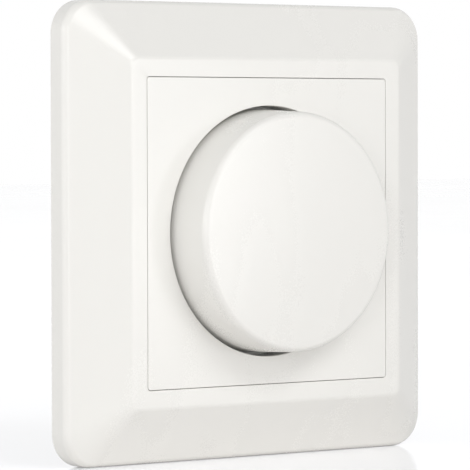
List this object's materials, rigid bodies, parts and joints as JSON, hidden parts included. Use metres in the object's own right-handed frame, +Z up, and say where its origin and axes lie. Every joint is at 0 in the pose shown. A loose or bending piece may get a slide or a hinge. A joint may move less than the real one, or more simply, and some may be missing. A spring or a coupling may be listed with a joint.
{
  "type": "dimmer switch",
  "caption": "Square flush wall dimmer with a sloped cover frame, a flat centre plate and a large round knob that turns to dim and pushes to switch.",
  "frame": {"origin": "on the knob's axis in the wall plane, halfway between the screws of the wall box", "axes": "+Z up, +Y into the wall, the knob faces the room along -Y"},
  "size_m": [0.0822, 0.0433, 0.0822],
  "materials": {
    "cover_plastic": "smooth satin cream-white moulding",
    "grey_plastic": "matt light grey moulding",
    "black_plastic": "matt black moulding",
    "zinc_steel": "zinc-plated",
    "spring_steel": "bright drawn wire",
    "shaft_metal": "turned",
    "brass": "bright",
    "copper": "enamelled wire",
    "board": "brown laminate",
    "pad": "grey silicone",
    "ferrite": "dull sintered core",
    "capacitor": "yellow-brown case",
    "fuse": "glass tube with metal caps",
    "resistor": "lacquered"
  },
  "bodies": {
    "base": {"cover_frame": "cover_plastic", "centre_plate": "cover_plastic", "lock_washer": "zinc_steel", "bushing_nut": "brass", "threaded_bushing": "brass", "resistor_wafer": "board", "potentiometer_case": "black_plastic", "contact_pins": "brass", "return_spring": "spring_steel", "mounting_plate": "zinc_steel", "rear_housing": "grey_plastic", "housing_screws": "zinc_steel", "circuit_board": "board", "triac": "black_plastic", "insulating_pad": "pad", "triac_screw": "zinc_steel", "choke_core": "ferrite", "choke_winding": "copper", "film_capacitor": "capacitor", "timing_capacitor": "capacitor", "fuse": "fuse", "resistors": "resistor", "terminal_block": "grey_plastic", "terminal_cages": "brass", "terminal_screws": "zinc_steel"},
    "rotor": {"wiper_rotor": "black_plastic", "wiper_spring": "brass"},
    "spindle": {"knob": "cover_plastic", "knob_clamp_ring": "spring_steel", "control_shaft": "shaft_metal"},
    "plunger": {"switch_plunger": "grey_plastic", "contact_bridge": "brass"}
  },
  "joints": [
    {"name": "knob_turn", "type": "hinge", "parent": "base", "child": "rotor", "pos_m": [0, 0, 0], "axis": [0, 1, 0], "range_deg": [0, 300]},
    {"name": "knob_push", "type": "slide", "parent": "rotor", "child": "spindle", "axis": [0, 1, 0], "range_m": [0, 0.0015], "stiffness_N_per_m": 1500, "springref_m": -0.0015, "deforming": ["return_spring"]},
    {"name": "plunger_push", "type": "slide", "parent": "base", "child": "plunger", "axis": [0, 1, 0], "range_m": [0, 0.0015]}
  ],
  "couplings": [
    {"joint": "plunger_push", "follows": "knob_push", "ratio": 1}
  ]
}
